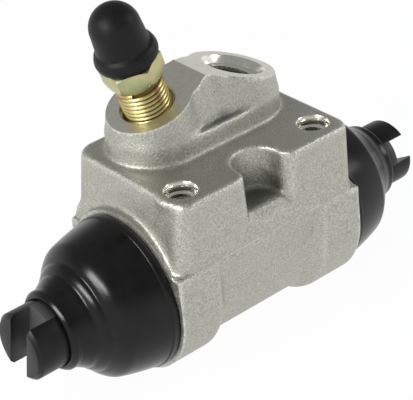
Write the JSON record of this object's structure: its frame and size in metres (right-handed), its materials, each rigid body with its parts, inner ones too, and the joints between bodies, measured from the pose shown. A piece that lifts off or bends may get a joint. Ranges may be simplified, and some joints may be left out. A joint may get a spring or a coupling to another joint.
{
  "type": "wheel cylinder",
  "caption": "Drum brake wheel cylinder: cast body with a flat mounting face, opposed slotted pistons under rubber boots, a threaded inlet and a capped bleeder screw.",
  "frame": {"origin": "on the mounting face, midway between its two threaded holes", "axes": "+Z is the outward normal of the mounting face, +X runs along the bore towards the inlet's side, +Y points from the holes to the port boss"},
  "size_m": [0.103, 0.0349, 0.076],
  "materials": {
    "cast_aluminium": "shot-blasted",
    "black_anodised": "satin",
    "seal_rubber": "matte",
    "boot_rubber": "satin",
    "spring_steel": "bright",
    "yellow_zinc": "yellow passivated zinc"
  },
  "bodies": {
    "cylinder": {"body": "cast_aluminium", "left_boot": "boot_rubber", "right_boot": "boot_rubber", "spring": "spring_steel"},
    "left_piston": {"left_piston": "black_anodised", "left_cup": "seal_rubber", "left_expander": "spring_steel"},
    "right_piston": {"right_piston": "black_anodised", "right_cup": "seal_rubber", "right_expander": "spring_steel"},
    "bleeder": {"bleeder_screw": "yellow_zinc"},
    "cap": {"bleeder_cap": "boot_rubber"}
  },
  "joints": [
    {"name": "left_piston_slide", "type": "slide", "parent": "cylinder", "child": "left_piston", "axis": [-1, 0, 0], "range_m": [-0.004, 0.008], "deforming": ["left_boot", "spring"]},
    {"name": "right_piston_slide", "type": "slide", "parent": "cylinder", "child": "right_piston", "axis": [1, 0, 0], "range_m": [-0.004, 0.008], "deforming": ["right_boot", "spring"]},
    {"name": "bleeder_turn", "type": "hinge", "parent": "cylinder", "child": "bleeder", "pos_m": [-0.0108, 0.01715, 0.00992], "axis": [-0.2924, 0, 0.9563], "range_deg": [0, 180]},
    {"name": "cap_pull", "type": "slide", "parent": "bleeder", "child": "cap", "axis": [-0.2924, 0, 0.9563], "range_m": [0, 0.014]}
  ]
}
